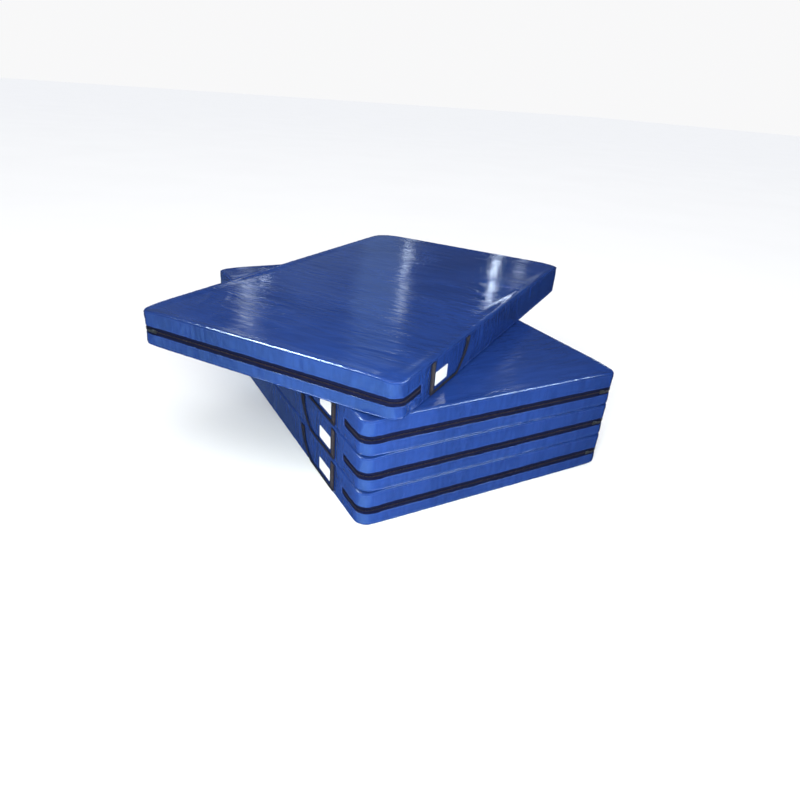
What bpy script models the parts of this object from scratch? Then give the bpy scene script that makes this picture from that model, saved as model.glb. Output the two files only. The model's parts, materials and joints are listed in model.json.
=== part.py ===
"""Stack of four zip-cover gym mats: three squared up and a fourth turned on top.

Each mat is a foam block in a sewn vinyl cover. The cover's end opens with a zip that runs round both
corners, and each long side carries a webbing loop and a blank label. Metres, +Z up, origin at the
centre of the floor footprint. A mat's own frame has X across it, Y along it, and its zip end at -Y.
"""

import math

import bmesh
import bpy
from mathutils import Matrix, Vector

# One mat
MAT_COUNT = 4
MAT_WIDTH = 1.20
MAT_LENGTH = 2.00
MAT_HEIGHT = 0.15
CORNER_RADIUS = 0.050
EDGE_RADIUS = 0.014
CORNER_STEPS = 5
EDGE_STEPS = 3
WELT_HEIGHT = 0.016  # where a panel meets the side band, just past its rounded edge
COVER_THICKNESS = 0.0012
GAP = 0.0003  # left between neighbours that touch on the real mat
TOP_MAT_TURN = math.radians(-56.3)

# Zip, along the short end and round both corners
ZIP_HEIGHT = 0.068  # its middle, above the mat's base
ZIP_OPENING = 0.028
ZIP_WRAP = 0.160  # how far it runs back along each long side
CHAIN_HEIGHT = 0.007
CHAIN_PROUD = 0.0012
CHAIN_SUNK = 0.0009

# Slider and pull tab, in a frame whose Y = 0 is the slider plate's outer face
PARKED_X = 0.52
PLATE_SIZE = (0.022, 0.0024, 0.014)
PLATE_BEVEL = 0.0006
ARCH_LENGTH = 0.0142
ARCH_HEIGHT = 0.003
ARCH_CLEAR = 0.0024
ARCH_BAR = 0.0014
ARCH_POST = 0.0022
PULL_LENGTH = 0.034
PULL_WIDTH = 0.009
PULL_THICKNESS = 0.0014
PULL_BACK = 0.0007  # the crossbar's half width, behind the pivot
EYE_END = 0.0085
EYE_WIDTH = 0.005
PULL_END_STEPS = 6

# Webbing loop on each long side; "along" is measured from the zip end, "up" from the base
LOOP_TOP = 0.136
LOOP_BOTTOM = 0.003
GRIP_HEIGHT = 0.012
NEAR_LEG = (0.243, 0.269)
FAR_LEG_TOP = 0.585
FAR_LEG_SWEEP = 0.100  # how far the far leg's foot is drawn towards the zip end
FAR_LEG_WIDTH = (0.040, 0.022)  # at its top and at its foot
LOOP_STEPS = 8
WEBBING_THICKNESS = 0.0018
STRIP_SPAN = (0.236, 0.276)
STRIP_HEIGHTS = (0.016, 0.134)
STRIP_THICKNESS = 0.0010

# Label pocket
LABEL_SPAN = (0.283, 0.393)
LABEL_HEIGHTS = (0.030, 0.085)
LABEL_THICKNESS = 0.0006

# name: colour, roughness, metallic
FINISHES = {
    "foam": ((0.86, 0.84, 0.76), 0.9, 0.0),
    "vinyl": ((0.03, 0.09, 0.42), 0.25, 0.0),
    "zip_tape": ((0.012, 0.014, 0.04), 0.85, 0.0),
    "zip_coil": ((0.05, 0.035, 0.035), 0.5, 0.0),
    "slider_metal": ((0.10, 0.10, 0.11), 0.4, 0.8),
    "webbing": ((0.02, 0.02, 0.035), 0.8, 0.0),
    "label": ((0.88, 0.88, 0.88), 0.5, 0.0),
}


def clear_scene():
    for obj in list(bpy.data.objects):
        bpy.data.objects.remove(obj, do_unlink=True)


def make_finishes():
    finishes = {}
    for name, (colour, roughness, metallic) in FINISHES.items():
        material = bpy.data.materials.new(name)
        material.use_nodes = True
        shader = material.node_tree.nodes["Principled BSDF"]
        shader.inputs["Base Color"].default_value = (*colour, 1.0)
        shader.inputs["Roughness"].default_value = roughness
        shader.inputs["Metallic"].default_value = metallic
        finishes[name] = material
    return finishes


def add_object(name, data, collection):
    obj = bpy.data.objects.new(name, data)
    collection.objects.link(obj)
    return obj


def baked(obj):
    """The object's evaluated mesh, on its own, with the object removed."""
    depsgraph = bpy.context.evaluated_depsgraph_get()
    mesh = bpy.data.meshes.new_from_object(obj.evaluated_get(depsgraph))
    mesh.transform(obj.matrix_world)
    bpy.data.objects.remove(obj, do_unlink=True)
    return mesh


def box_mesh(name, size, centre=(0.0, 0.0, 0.0)):
    mesh = bpy.data.meshes.new(name)
    bm = bmesh.new()
    bmesh.ops.create_cube(bm, size=1.0, matrix=Matrix.Translation(centre) @ Matrix.Diagonal((*size, 1.0)))
    bm.to_mesh(mesh)
    bm.free()
    return mesh


def rounded_block(inset):
    """A mat-shaped block, standing on its base plane, that lies `inset` inside the cover's outer surface."""
    size = (MAT_WIDTH - 2 * inset, MAT_LENGTH - 2 * inset, MAT_HEIGHT - 2 * inset)
    bm = bmesh.new()
    place = Matrix.Translation((0.0, 0.0, MAT_HEIGHT / 2)) @ Matrix.Diagonal((*size, 1.0))
    bmesh.ops.create_cube(bm, size=1.0, matrix=place)
    upright = [e for e in bm.edges if abs((e.verts[0].co - e.verts[1].co).z) > size[2] / 2]
    bmesh.ops.bevel(
        bm, geom=upright, offset=CORNER_RADIUS - inset, segments=CORNER_STEPS, profile=0.5, affect="EDGES"
    )
    bm.normal_update()
    rims = [e for e in bm.edges if any(abs(f.normal.z) > 0.9 for f in e.link_faces)]
    bmesh.ops.bevel(bm, geom=rims, offset=EDGE_RADIUS - inset, segments=EDGE_STEPS, profile=0.5, affect="EDGES")
    return bm


def keep_side(bm, point, normal):
    """Cuts the mesh at a plane and keeps the part that the normal points to."""
    geometry = bm.verts[:] + bm.edges[:] + bm.faces[:]
    bmesh.ops.bisect_plane(bm, geom=geometry, plane_co=point, plane_no=normal, clear_inner=True, dist=1e-7)


def cover_band(name, low, high, back=None):
    """The cover's outer surface between two heights, and no further back than `back` if that is given."""
    bm = rounded_block(0.0)
    if low is not None:
        keep_side(bm, (0.0, 0.0, low), (0.0, 0.0, 1.0))
    if high is not None:
        keep_side(bm, (0.0, 0.0, high), (0.0, 0.0, -1.0))
    if back is not None:
        keep_side(bm, (0.0, back, 0.0), (0.0, -1.0, 0.0))
    mesh = bpy.data.meshes.new(name)
    bm.to_mesh(mesh)
    bm.free()
    return mesh


def shell(name, surface, inner, outer, collection):
    """A wall round an open surface, from `inner` inside it to `outer` outside it."""
    obj = add_object(name, surface, collection)
    wall = obj.modifiers.new("wall", "SOLIDIFY")
    wall.thickness = inner + outer
    wall.offset = (outer - inner) / (inner + outer)
    wall.use_even_offset = True
    return obj


def foam_mesh():
    bm = rounded_block(COVER_THICKNESS + GAP)
    mesh = bpy.data.meshes.new("foam")
    bm.to_mesh(mesh)
    bm.free()
    return mesh


def panel_mesh(name, low, high, collection):
    return baked(shell(name, cover_band(name, low, high), COVER_THICKNESS, 0.0, collection))


def side_band_mesh(collection, cutters):
    """The strip between the two welts, slotted for the zip across the -Y end and round its corners."""
    surface = cover_band("side_band", WELT_HEIGHT + GAP / 2, MAT_HEIGHT - WELT_HEIGHT - GAP / 2)
    band = shell("side_band", surface, COVER_THICKNESS, 0.0, collection)
    reach = 2 * ZIP_WRAP
    slot_size = (MAT_WIDTH + 0.1, reach, ZIP_OPENING)
    slot_centre = (0.0, -MAT_LENGTH / 2 + ZIP_WRAP - reach / 2, ZIP_HEIGHT)
    slot = add_object("zip_slot", box_mesh("zip_slot", slot_size, slot_centre), cutters)
    slot.hide_render = True
    slot.display_type = "WIRE"
    cut = band.modifiers.new("zip_slot", "BOOLEAN")
    cut.operation = "DIFFERENCE"
    cut.solver = "EXACT"
    cut.object = slot
    return baked(band)


def zip_strip_mesh(name, low, high, inner, outer, collection):
    """One strip of the zip, U-shaped in plan, that fills part of the slot."""
    back = -MAT_LENGTH / 2 + ZIP_WRAP - GAP
    return baked(shell(name, cover_band(name, low, high, back), inner, outer, collection))


def slider_mesh(collection, cutters):
    """The slider's plate with an arch for the pull tab; its outer face is at Y = 0 and faces -Y."""
    plate_centre = (0.0, PLATE_SIZE[1] / 2, 0.0)
    plate = add_object("plate", box_mesh("plate", PLATE_SIZE, plate_centre), collection)
    rounding = plate.modifiers.new("rounding", "BEVEL")
    rounding.width = PLATE_BEVEL
    rounding.segments = 2
    height = ARCH_CLEAR + ARCH_BAR
    root = PLATE_SIZE[1] / 2  # the arch starts half way through the plate
    arch_size = (ARCH_LENGTH, height + root, ARCH_HEIGHT)
    arch = add_object("arch", box_mesh("arch", arch_size, (0.0, (root - height) / 2, 0.0)), cutters)
    window_size = (ARCH_LENGTH - 2 * ARCH_POST, ARCH_CLEAR, 3 * ARCH_HEIGHT)
    window = add_object("window", box_mesh("window", window_size, (0.0, -ARCH_CLEAR / 2, 0.0)), cutters)
    for cutter, operation in ((arch, "UNION"), (window, "DIFFERENCE")):
        cutter.hide_render = True
        cutter.display_type = "WIRE"
        step = plate.modifiers.new(cutter.name, "BOOLEAN")
        step.operation = operation
        step.solver = "EXACT"
        step.object = cutter
    return baked(plate)


def flat_outline(name, outlines, thickness, collection):
    """A flat plate in the XY plane; the first outline is its edge and any others are holes."""
    curve = bpy.data.curves.new(name, "CURVE")
    curve.dimensions = "2D"
    curve.fill_mode = "BOTH"
    curve.extrude = thickness / 2
    for points in outlines:
        spline = curve.splines.new("POLY")
        spline.points.add(len(points) - 1)
        spline.use_cyclic_u = True
        for point, (x, y) in zip(spline.points, points):
            point.co = (x, y, 0.0, 1.0)
    return add_object(name, curve, collection)


def welded(mesh):
    """Joins a curve's caps to its sides."""
    bm = bmesh.new()
    bm.from_mesh(mesh)
    bmesh.ops.remove_doubles(bm, verts=bm.verts, dist=1e-6)
    bmesh.ops.recalc_face_normals(bm, faces=bm.faces)
    bm.to_mesh(mesh)
    bm.free()
    return mesh


def pull_mesh(collection):
    """The pull tab, flat in the XZ plane with the pivot at its origin, and pointing along +X."""
    half = PULL_WIDTH / 2
    tip = PULL_LENGTH - half
    rim = [(-PULL_BACK, half), (-PULL_BACK, -half)]
    for step in range(PULL_END_STEPS + 1):
        turn = math.pi * (step / PULL_END_STEPS - 0.5)
        rim.append((tip + half * math.cos(turn), half * math.sin(turn)))
    eye = [
        (PULL_BACK, -EYE_WIDTH / 2),
        (EYE_END, -EYE_WIDTH / 2),
        (EYE_END, EYE_WIDTH / 2),
        (PULL_BACK, EYE_WIDTH / 2),
    ]
    tab = flat_outline("pull", (rim, eye), PULL_THICKNESS, collection)
    mesh = welded(baked(tab))
    mesh.transform(Matrix.Rotation(math.radians(90), 4, "X"))
    return mesh


def far_leg_at(drop):
    """Middle of the loop's far leg and half its width, where drop is 0 at its top and 1 at its foot."""
    middle = FAR_LEG_TOP - FAR_LEG_SWEEP * drop**2
    top_width, foot_width = FAR_LEG_WIDTH
    return middle, (top_width + (foot_width - top_width) * drop) / 2


def loop_outline():
    """The carry loop as (along, up) points: near leg, grip along the lower edge, swept far leg."""
    grip_top = LOOP_BOTTOM + GRIP_HEIGHT
    points = [(NEAR_LEG[1], LOOP_TOP), (NEAR_LEG[0], LOOP_TOP), (NEAR_LEG[0], LOOP_BOTTOM)]
    for step in range(LOOP_STEPS + 1):
        drop = 1 - step / LOOP_STEPS
        middle, half = far_leg_at(drop)
        points.append((middle + half, LOOP_BOTTOM + (LOOP_TOP - LOOP_BOTTOM) * (1 - drop)))
    inner_foot = (LOOP_TOP - grip_top) / (LOOP_TOP - LOOP_BOTTOM)
    for step in range(LOOP_STEPS + 1):
        drop = inner_foot * step / LOOP_STEPS
        middle, half = far_leg_at(drop)
        points.append((middle - half, LOOP_TOP - (LOOP_TOP - LOOP_BOTTOM) * drop))
    points.append((NEAR_LEG[1], grip_top))
    return points


def loop_mesh(collection):
    """The carry loop hanging in the YZ plane; its origin is on the line that it swings about."""
    outline = [(along, up - LOOP_TOP) for along, up in loop_outline()]
    mesh = welded(baked(flat_outline("loop", (outline,), WEBBING_THICKNESS, collection)))
    # outline X runs along the mat, outline Y runs up, and its thickness runs across the mat
    across = Matrix(((0, 0, 1, 0), (1, 0, 0, 0), (0, 1, 0, 0), (0, 0, 0, 1)))
    mesh.transform(across)
    return mesh


def wall_plate_mesh(name, span, heights, thickness):
    """A thin plate on a long side; its inner face is at X = 0 and it faces +X."""
    size = (thickness, span[1] - span[0], heights[1] - heights[0])
    centre = (thickness / 2, (span[0] + span[1]) / 2, (heights[0] + heights[1]) / 2)
    return box_mesh(name, size, centre)


def mirrored(mesh):
    """A copy mirrored across the mat's middle plane, with its faces pointing out again."""
    copy = mesh.copy()
    copy.transform(Matrix.Diagonal((-1.0, 1.0, 1.0, 1.0)))
    copy.flip_normals()
    return copy


def both_sides(name, mesh, across, height, finish):
    """Pieces for the two long sides, each `across` from the mat's middle."""
    zip_end = -MAT_LENGTH / 2
    return [
        (name + "_left", mirrored(mesh), (-across, zip_end, height), finish),
        (name + "_right", mesh, (across, zip_end, height), finish),
    ]


def mat_pieces(collection, cutters):
    """(name, mesh, place, finish) of each piece, in the mat's own frame, apart from slider and pull."""
    tape_low = ZIP_HEIGHT - ZIP_OPENING / 2 + GAP
    tape_high = ZIP_HEIGHT + ZIP_OPENING / 2 - GAP
    chain_low = ZIP_HEIGHT - CHAIN_HEIGHT / 2
    chain_high = ZIP_HEIGHT + CHAIN_HEIGHT / 2
    origin = (0.0, 0.0, 0.0)
    tape_wall = (COVER_THICKNESS, 0.0, collection)
    upper_tape = zip_strip_mesh("tape_upper", chain_high + GAP, tape_high, *tape_wall)
    lower_tape = zip_strip_mesh("tape_lower", tape_low, chain_low - GAP, *tape_wall)
    chain = zip_strip_mesh("chain", chain_low, chain_high, CHAIN_SUNK, CHAIN_PROUD, collection)
    half_width = MAT_WIDTH / 2 + GAP
    loop_across = half_width + STRIP_THICKNESS + GAP + WEBBING_THICKNESS / 2
    strip = wall_plate_mesh("strip", STRIP_SPAN, STRIP_HEIGHTS, STRIP_THICKNESS)
    label = wall_plate_mesh("label", LABEL_SPAN, LABEL_HEIGHTS, LABEL_THICKNESS)
    return [
        ("foam_core", foam_mesh(), origin, "foam"),
        ("top_panel", panel_mesh("top", MAT_HEIGHT - WELT_HEIGHT + GAP / 2, None, collection), origin, "vinyl"),
        ("side_band", side_band_mesh(collection, cutters), origin, "vinyl"),
        ("base_panel", panel_mesh("base", None, WELT_HEIGHT - GAP / 2, collection), origin, "vinyl"),
        ("zip_tape_upper", upper_tape, origin, "zip_tape"),
        ("zip_tape_lower", lower_tape, origin, "zip_tape"),
        ("zip_chain", chain, origin, "zip_coil"),
        *both_sides("carry_loop", loop_mesh(collection), loop_across, LOOP_TOP, "webbing"),
        *both_sides("sewn_strip", strip, half_width, 0.0, "webbing"),
        *both_sides("label", label, half_width, 0.0, "label"),
    ]


def slider_place(side):
    """Where the slider's outer face centre is, with the slider parked at the +X or -X end of the straight run."""
    outward = CHAIN_PROUD + GAP + PLATE_SIZE[1]
    return Vector((side * PARKED_X, -MAT_LENGTH / 2 - outward, ZIP_HEIGHT))


def build_mat(number, pieces, slider, pull, finishes, collection):
    """One mat on an empty at its base centre; the pull tab's own origin is on its pivot."""
    base = bpy.data.objects.new(f"mat_{number}_place", None)
    collection.objects.link(base)
    base.location = (0.0, 0.0, (number - 1) * (MAT_HEIGHT + GAP))
    on_top = number == MAT_COUNT
    base.rotation_euler.z = TOP_MAT_TURN if on_top else 0.0

    def add_piece(name, mesh, place, finish):
        obj = add_object(f"mat_{number}_{name}", mesh.copy(), collection)
        obj.data.materials.clear()
        obj.data.materials.append(finishes[finish])
        obj.location = place
        obj.parent = base
        return obj

    for piece in pieces:
        add_piece(*piece)
    side = -1 if on_top else 1
    place = slider_place(side)
    add_piece("zip_slider", slider, place, "slider_metal")
    pivot = place - Vector((0.0, ARCH_CLEAR / 2, 0.0))
    tab = add_piece("zip_pull", pull, pivot, "slider_metal")
    tab.rotation_euler.z = 0.0 if side > 0 else math.pi


def main():
    clear_scene()
    scene = bpy.context.scene
    collection = bpy.data.collections.new("gym_mat_stack")
    cutters = bpy.data.collections.new("cutters")
    scene.collection.children.link(collection)
    scene.collection.children.link(cutters)
    finishes = make_finishes()
    pieces = mat_pieces(collection, cutters)
    slider = slider_mesh(collection, cutters)
    pull = pull_mesh(collection)
    for number in range(1, MAT_COUNT + 1):
        build_mat(number, pieces, slider, pull, finishes, collection)


main()
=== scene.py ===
"""Looks of a stack of zip-cover gym mats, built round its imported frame.

Every piece is made once in the bottom mat's place, with its zip end at -Y, and copied to the mats above.
"""

import json
import math

import bmesh
import bpy
import numpy as np
from mathutils import Matrix, Vector

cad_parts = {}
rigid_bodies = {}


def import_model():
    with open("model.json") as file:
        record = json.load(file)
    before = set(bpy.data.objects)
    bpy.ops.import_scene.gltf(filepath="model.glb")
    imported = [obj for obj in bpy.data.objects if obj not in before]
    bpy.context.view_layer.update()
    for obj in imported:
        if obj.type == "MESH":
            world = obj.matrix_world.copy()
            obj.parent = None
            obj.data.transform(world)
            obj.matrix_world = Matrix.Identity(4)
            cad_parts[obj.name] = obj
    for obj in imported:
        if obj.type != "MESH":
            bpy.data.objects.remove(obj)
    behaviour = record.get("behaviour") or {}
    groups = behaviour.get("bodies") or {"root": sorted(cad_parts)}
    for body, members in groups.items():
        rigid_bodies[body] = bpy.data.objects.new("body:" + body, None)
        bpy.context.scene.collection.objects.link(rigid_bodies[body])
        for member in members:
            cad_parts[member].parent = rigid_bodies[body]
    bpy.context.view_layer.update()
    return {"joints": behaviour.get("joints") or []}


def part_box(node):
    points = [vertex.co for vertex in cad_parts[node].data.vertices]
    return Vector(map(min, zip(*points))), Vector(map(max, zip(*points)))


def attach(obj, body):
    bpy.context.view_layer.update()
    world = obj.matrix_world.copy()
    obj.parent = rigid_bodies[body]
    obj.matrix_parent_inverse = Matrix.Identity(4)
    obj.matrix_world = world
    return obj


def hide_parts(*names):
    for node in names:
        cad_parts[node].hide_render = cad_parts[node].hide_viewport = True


bl_info = {
    "name": "Gym Mat Stack",
    "version": (1, 0, 0),
    "blender": (4, 5, 0),
    "location": "View3D > Sidebar > Gym Mats",
    "description": "Builds a stack of foam gym mats with sewn vinyl covers, end zips and webbing loops",
    "category": "Object",
}

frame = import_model()

MATS = (1, 2, 3, 4)


def cad_box(part):
    """Lowest and highest corner of one of the bottom mat's parts."""
    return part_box("mat_1_" + part)


TOP_LOW, TOP_HIGH = cad_box("top_panel")
WIDTH = TOP_HIGH.x - TOP_LOW.x
LENGTH = TOP_HIGH.y - TOP_LOW.y
HEIGHT = TOP_HIGH.z
ZIP_END = -LENGTH / 2
DRAWN_BACK = 0.0028  # how far each hem is drawn back from the zip tape's edge
SLOT = (cad_box("zip_tape_lower")[0].z - DRAWN_BACK, cad_box("zip_tape_upper")[1].z + DRAWN_BACK)
CHAIN = (cad_box("zip_chain")[0].z, cad_box("zip_chain")[1].z)
CHAIN_MIDDLE = (CHAIN[0] + CHAIN[1]) / 2
WRAP = cad_box("zip_tape_upper")[1].y - ZIP_END
CORNER = 0.050  # plan radius of the mat's upright corners
EDGE = 0.010  # radius of its long edges
CLOTH = 0.0012  # thickness of the cover's coated cloth
CLEARANCE = 0.0004  # between the mat's full height and the cover's outer face
SEAM_ALONG = 0.172  # the upright seam past each end of the zip, from the zip end


# ---------------------------------------------------------------------------
# Settings
# ---------------------------------------------------------------------------


class GymMatCover(bpy.types.PropertyGroup):
    wrinkle_height: bpy.props.FloatProperty(
        name="Wrinkle Height", description="Height of the wrinkles across the top",
        default=0.0012, unit="LENGTH"
    )
    slack_height: bpy.props.FloatProperty(
        name="Slack Height", description="Height of the broad waves in the top", default=0.0016, unit="LENGTH"
    )
    gather_height: bpy.props.FloatProperty(
        name="Gather Height", description="Depth of the small gathers along the seams",
        default=0.0015, unit="LENGTH"
    )
    bulge: bpy.props.FloatProperty(
        name="Wall Bulge", description="How far the side walls swell", default=0.0035, unit="LENGTH"
    )
    welt_radius: bpy.props.FloatProperty(
        name="Welt Radius", description="Half the thickness of the seam along each edge",
        default=0.0027, unit="LENGTH"
    )
    colour: bpy.props.FloatVectorProperty(
        name="Vinyl Colour", description="Colour of the coated cloth", default=(0.0125, 0.037, 0.176),
        subtype="COLOR", size=3, min=0.0, max=1.0
    )
    roughness: bpy.props.FloatProperty(
        name="Vinyl Roughness", description="Roughness of the coated cloth", default=0.11, subtype="FACTOR"
    )


class GymMatZip(bpy.types.PropertyGroup):
    tooth_pitch: bpy.props.FloatProperty(
        name="Tooth Pitch", description="Distance from one turn of the coil to the next",
        default=0.0026, unit="LENGTH"
    )
    tape_colour: bpy.props.FloatVectorProperty(
        name="Tape Colour", description="Colour of the zip's tape", default=(0.0035, 0.0055, 0.028),
        subtype="COLOR", size=3, min=0.0, max=1.0
    )
    coil_colour: bpy.props.FloatVectorProperty(
        name="Coil Colour", description="Colour of the zip's coil", default=(0.012, 0.011, 0.024),
        subtype="COLOR", size=3, min=0.0, max=1.0
    )


class GymMatTrim(bpy.types.PropertyGroup):
    webbing_colour: bpy.props.FloatVectorProperty(
        name="Webbing Colour", description="Colour of the carry loops", default=(0.014, 0.015, 0.028),
        subtype="COLOR", size=3, min=0.0, max=1.0
    )
    label_colour: bpy.props.FloatVectorProperty(
        name="Label Colour", description="Colour of the blank labels", default=(0.85, 0.86, 0.87),
        subtype="COLOR", size=3, min=0.0, max=1.0
    )


class GymMatStage(bpy.types.PropertyGroup):
    focal_length: bpy.props.FloatProperty(
        name="Focal Length", description="Focal length of the camera, in millimetres", default=27.29
    )
    eye: bpy.props.FloatVectorProperty(
        name="Camera Place", description="Where the camera stands", default=(-1.403, -2.594, 1.444), size=3,
        subtype="TRANSLATION"
    )
    heading: bpy.props.FloatProperty(
        name="Heading", description="Camera's turn from +Y towards +X",
        default=math.radians(30.41), subtype="ANGLE"
    )
    pitch: bpy.props.FloatProperty(
        name="Pitch", description="How far the camera looks down", default=0.468, subtype="ANGLE"
    )
    roll: bpy.props.FloatProperty(
        name="Roll", description="How far the camera leans to its left", default=0.076, subtype="ANGLE"
    )
    floor_colour: bpy.props.FloatVectorProperty(
        name="Floor Colour", description="Colour of the floor",
        default=(0.92, 0.92, 0.92), subtype="COLOR", size=3
    )


# ---------------------------------------------------------------------------
# Shader helpers
# ---------------------------------------------------------------------------


class Wire:
    """An output socket that can be added to and multiplied; each sum adds a Math node."""

    def __init__(self, tree, socket):
        self.tree = tree
        self.socket = socket

    def maths(self, operation, *values):
        node = self.tree.nodes.new("ShaderNodeMath")
        node.operation = operation
        for socket, value in zip(node.inputs, values):
            connect(self.tree, socket, value)
        return Wire(self.tree, node.outputs[0])

    def __add__(self, other):
        return self.maths("ADD", self, other)

    def __radd__(self, other):
        return self.maths("ADD", other, self)

    def __sub__(self, other):
        return self.maths("SUBTRACT", self, other)

    def __rsub__(self, other):
        return self.maths("SUBTRACT", other, self)

    def __mul__(self, other):
        return self.maths("MULTIPLY", self, other)

    def __rmul__(self, other):
        return self.maths("MULTIPLY", other, self)


def connect(tree, socket, value):
    if isinstance(value, Wire):
        tree.links.new(value.socket, socket)
    else:
        socket.default_value = value


def set_stops(ramp, stops):
    """Gives a new colour ramp its stops, each (place, colour), from low to high."""
    for number, (place, colour) in enumerate(stops):
        stop = ramp.elements[number] if number < len(ramp.elements) else ramp.elements.new(place)
        stop.position = place
        stop.color = (*colour, 1.0)


class Nodes:
    """The nodes of a material or of the world."""

    def __init__(self, tree):
        self.tree = tree

    def node(self, kind, settings=None, inputs=None, output=0):
        """Adds a node, with its settings first and then the values or wires of its sockets."""
        node = self.tree.nodes.new("ShaderNode" + kind)
        for name, value in (settings or {}).items():
            if name == "stops":
                set_stops(node.color_ramp, value)
            else:
                setattr(node, name, value)
        for name, value in (inputs or {}).items():
            connect(self.tree, node.inputs[name], value)
        return Wire(self.tree, node.outputs[output])

    def mix(self, factor, first, second):
        """A colour between two colours."""
        first, second = (c if isinstance(c, Wire) else (*c, 1.0) for c in (first, second))
        # sockets 6 and 7 and output 2 of a Mix node are its colours
        return self.node("Mix", {"data_type": "RGBA"}, {"Factor": factor, 6: first, 7: second}, output=2)

    def span(self, value, low, high, to_low=0.0, to_high=1.0):
        """value's stretch from low to high, spread from to_low to to_high and held there outside it."""
        inputs = {"Value": value, "From Min": low, "From Max": high, "To Min": to_low, "To Max": to_high}
        return self.node("MapRange", {"clamp": True}, inputs)


class Finish(Nodes):
    """A material under construction."""

    def __init__(self, name):
        self.material = bpy.data.materials.new(name)
        self.material.use_nodes = True
        super().__init__(self.material.node_tree)
        self.shader = self.tree.nodes["Principled BSDF"]

    def cloth_place(self, scale, turn=0.0):
        """Place on the cloth in metres, from the piece's own UV map, stretched by scale."""
        uv = self.node("UVMap", {"uv_map": "cloth"})
        inputs = {"Vector": uv, "Rotation": (0.0, 0.0, turn), "Scale": (*scale, 1.0)}
        return self.node("Mapping", inputs=inputs)

    def noise(self, place, scale=1.0, detail=2.0, roughness=0.5, distortion=0.0):
        """Flat noise at a place on the cloth."""
        inputs = {"Vector": place, "Scale": scale, "Detail": detail, "Roughness": roughness}
        inputs["Distortion"] = distortion
        return self.node("TexNoise", {"noise_dimensions": "2D"}, inputs)

    def cloud(self, scale, detail, roughness=0.5):
        """Noise through the whole space of the stack."""
        inputs = {"Vector": self.node("TexCoord", output="Object"), "Scale": scale, "Detail": detail}
        inputs["Roughness"] = roughness
        return self.node("TexNoise", inputs=inputs)

    def bump(self, height, distance, below=None):
        inputs = {"Height": height, "Distance": distance, "Strength": 1.0}
        if below is not None:
            inputs["Normal"] = below
        return self.node("Bump", inputs=inputs)

    def done(self, specular=0.5, **sockets):
        """Links the finished values to the shader's sockets; specular is one number for the whole piece."""
        self.shader.inputs["Specular IOR Level"].default_value = specular
        for name, value in sockets.items():
            connect(self.tree, self.shader.inputs[name.replace("_", " ").title()], value)
        return self.material


def shade(colour, factor):
    """The colour, lighter or darker by a factor."""
    return tuple(min(1.0, c * factor) for c in colour)


# ---------------------------------------------------------------------------
# Finishes
# ---------------------------------------------------------------------------


def vinyl_finish(cover):
    """Glossy coated cloth with tone drift, crosswise wrinkles with painted light and shade along them,
    creases drawn lighter, scrim and handling smears.
    """
    finish = Finish("vinyl")
    place = finish.cloth_place((1.0, 1.0))
    drift = finish.noise(place, 2.2, 3.0)
    tone = finish.mix(finish.span(drift, 0.3, 0.7), shade(cover.colour, 0.80), shade(cover.colour, 1.08))
    smears = finish.noise(finish.cloth_place((3.0, 9.0), 0.4), 1.0, 4.0, 0.6)
    crosswise = finish.noise(finish.cloth_place((6.0, 30.0), 0.12), 1.0, 3.5, 0.55, 0.9)
    leaning = finish.noise(finish.cloth_place((6.0, 24.0), -0.32), 1.0, 2.5, 0.5, 0.9)
    crease = finish.span(leaning.maths("ABSOLUTE", leaning - 0.5), 0.0, 0.035, 1.0, 0.0)
    patches = finish.span(finish.noise(finish.cloth_place((3.1, 4.3)), 1.0, 1.0), 0.42, 0.62)
    rub = crease * patches
    # painted light and shade: the tone is lighter on the crests of the crosswise wrinkles and darker in their
    # troughs
    wrinkle_light_and_shade = finish.span(crosswise, 0.36, 0.64)
    tone = finish.mix(0.22 * wrinkle_light_and_shade, tone, shade(cover.colour, 1.75))
    roughness = finish.span(smears, 0.3, 0.75, cover.roughness - 0.04, cover.roughness + 0.07) + 0.06 * rub
    scrim = finish.noise(place, 900.0, 1.0)
    wrinkled = finish.bump((0.45 + 0.55 * patches) * crosswise + 0.5 * leaning + 0.20 * rub, 0.0013)
    grained = finish.bump(scrim, 0.00003, wrinkled)
    # the tone is lighter along the crease lines, where they show in patches
    tone = finish.mix(0.12 * rub, tone, shade(cover.colour, 2.0))
    return finish.done(base_color=tone, roughness=roughness, normal=grained)


def foam_finish():
    """Cream polyurethane foam with open pores, with painted shade in the pores."""
    finish = Finish("foam")
    place = finish.node("TexCoord", output="Object")
    pores = finish.node("TexVoronoi", inputs={"Vector": place, "Scale": 420.0})
    tone = finish.mix(finish.span(finish.cloud(6.0, 4.0), 0.3, 0.7), (0.74, 0.68, 0.50), (0.86, 0.82, 0.68))
    # painted shade: the tone is darker in the pits of the pores
    tone = finish.mix(finish.span(pores, 0.0, 0.5), (0.50, 0.43, 0.28), tone)
    return finish.done(base_color=tone, roughness=0.95, normal=finish.bump(pores, 0.0006))


def woven_finish(name, colour, thread_pitch, worn, roughness=0.8):
    """Woven tape or webbing: threads along and across, with painted light on their crests and painted shade
    between them, and a worn, lighter tone on their crowns.
    """
    finish = Finish(name)
    wave = 2.0 * math.pi / thread_pitch
    place = finish.cloth_place((wave, wave))
    along, across = (finish.node("SeparateXYZ", inputs={"Vector": place}, output=axis) for axis in "XY")
    along, across = along.maths("SINE", along), across.maths("SINE", across)
    weave = (along * across) * 0.5 + 0.5
    ribs = across.maths("ABSOLUTE", across)
    rub = finish.noise(finish.cloth_place((60.0, 60.0)), 1.0, 4.0, 0.6)
    crown = finish.span(rub + 0.35 * weave, 0.55, 0.95)
    # painted light and shade: the tone follows the weave's relief, lighter on the thread crests and darker
    # between the threads
    tone = finish.mix(weave, shade(colour, 0.65), shade(colour, 1.5))
    tone = finish.mix(0.8 * crown, tone, worn)
    normal = finish.bump(weave + 0.6 * ribs, thread_pitch * 0.16)
    return finish.done(0.08, base_color=tone, roughness=roughness, normal=normal)


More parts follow.
